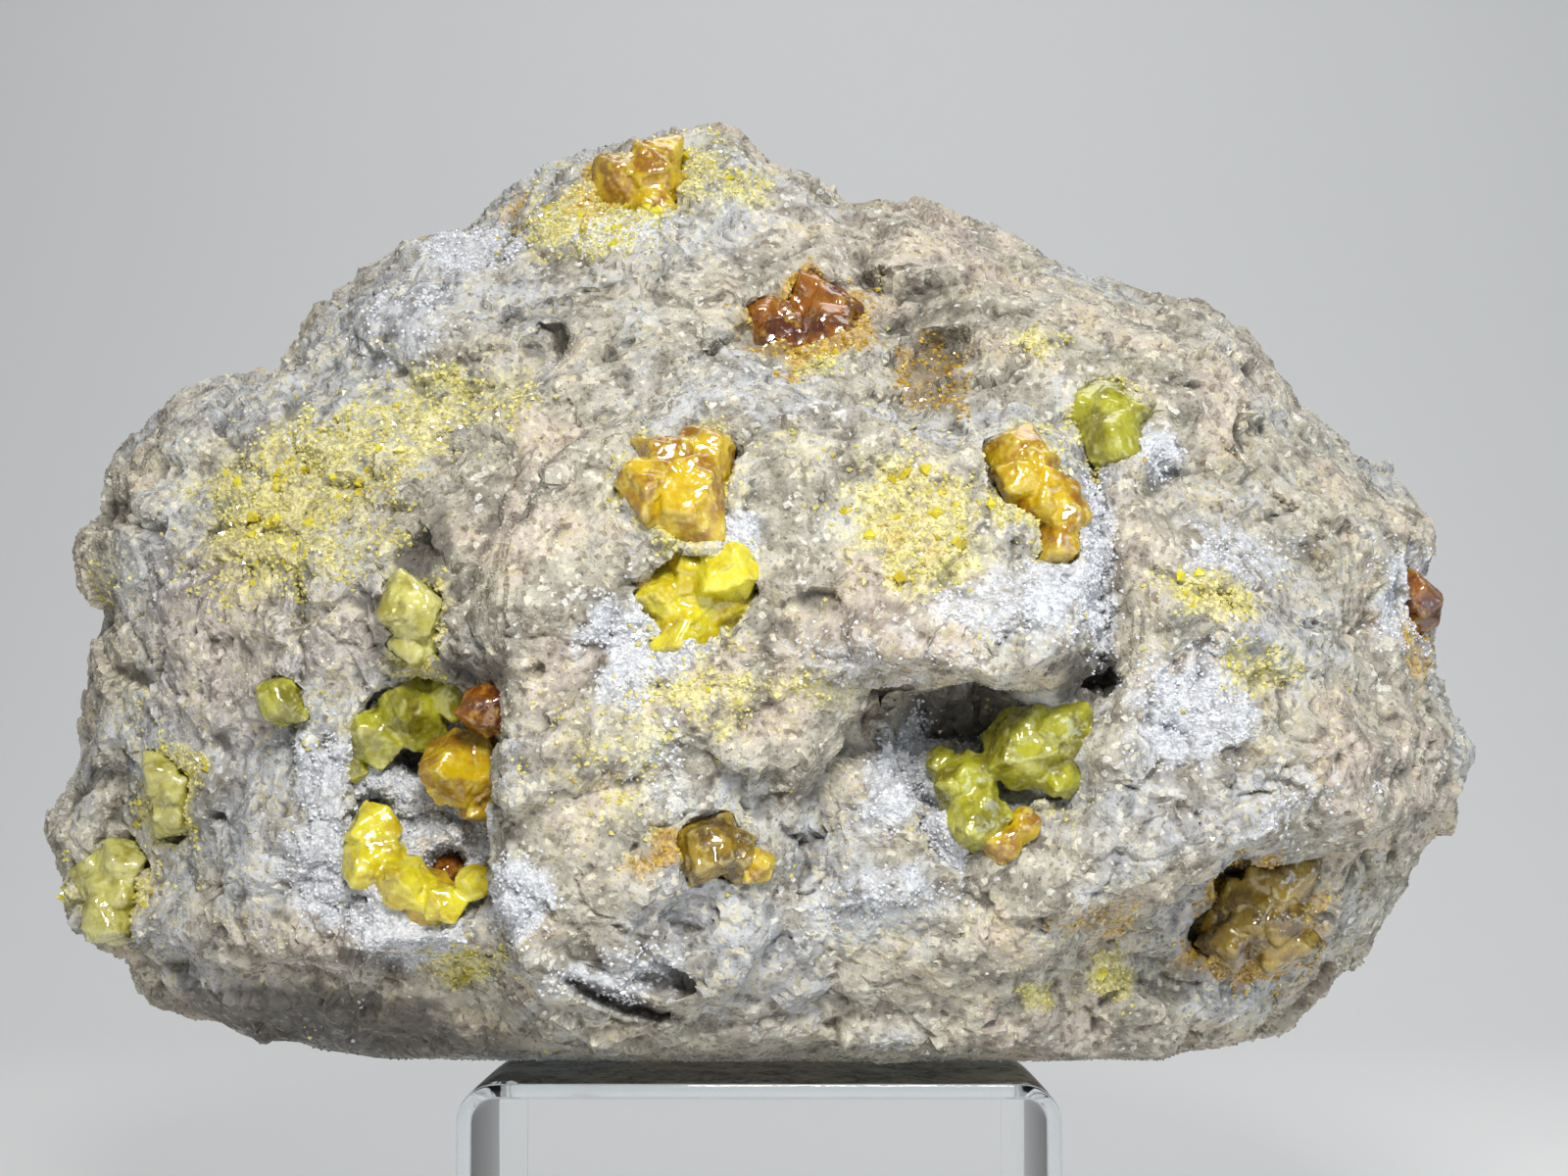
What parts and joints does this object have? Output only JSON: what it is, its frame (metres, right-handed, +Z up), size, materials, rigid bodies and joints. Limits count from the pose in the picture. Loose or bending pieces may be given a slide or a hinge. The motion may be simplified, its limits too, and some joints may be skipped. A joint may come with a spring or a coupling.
{
  "type": "native sulfur crystal specimen on a riser",
  "caption": "Native sulfur crystals in the hollows and on the faces of a rough matrix rock, resting on a clear bent acrylic riser.",
  "frame": {"origin": "on the surface the riser stands on, below the middle of the rock's box", "axes": "+Z up, +X to the right seen from the front, front towards -Y"},
  "size_m": [0.17, 0.1082, 0.1532],
  "materials": {
    "acrylic": "clear gloss",
    "matrix": "rough broken",
    "yellow_sulfur": "resinous",
    "olive_sulfur": "resinous",
    "amber_sulfur": "resinous",
    "orange_sulfur": "resinous"
  },
  "bodies": {
    "root": {"acrylic_stand": "acrylic", "matrix_rock": "matrix", "left_vug_crust": "yellow_sulfur", "middle_vug_crust": "olive_sulfur", "crevice_crust": "orange_sulfur", "centre_crystal": "yellow_sulfur", "amber_cluster": "amber_sulfur", "right_rim_cluster": "amber_sulfur", "upper_right_crystal": "olive_sulfur", "lower_right_cluster": "amber_sulfur", "summit_cluster": "amber_sulfur", "left_base_cluster": "olive_sulfur", "left_pale_cluster": "yellow_sulfur", "crack_crystal": "olive_sulfur", "rib_cluster": "yellow_sulfur", "low_amber_cluster": "amber_sulfur", "right_flank_cluster": "orange_sulfur", "back_cluster": "yellow_sulfur", "left_back_cluster": "amber_sulfur"}
  },
  "joints": []
}
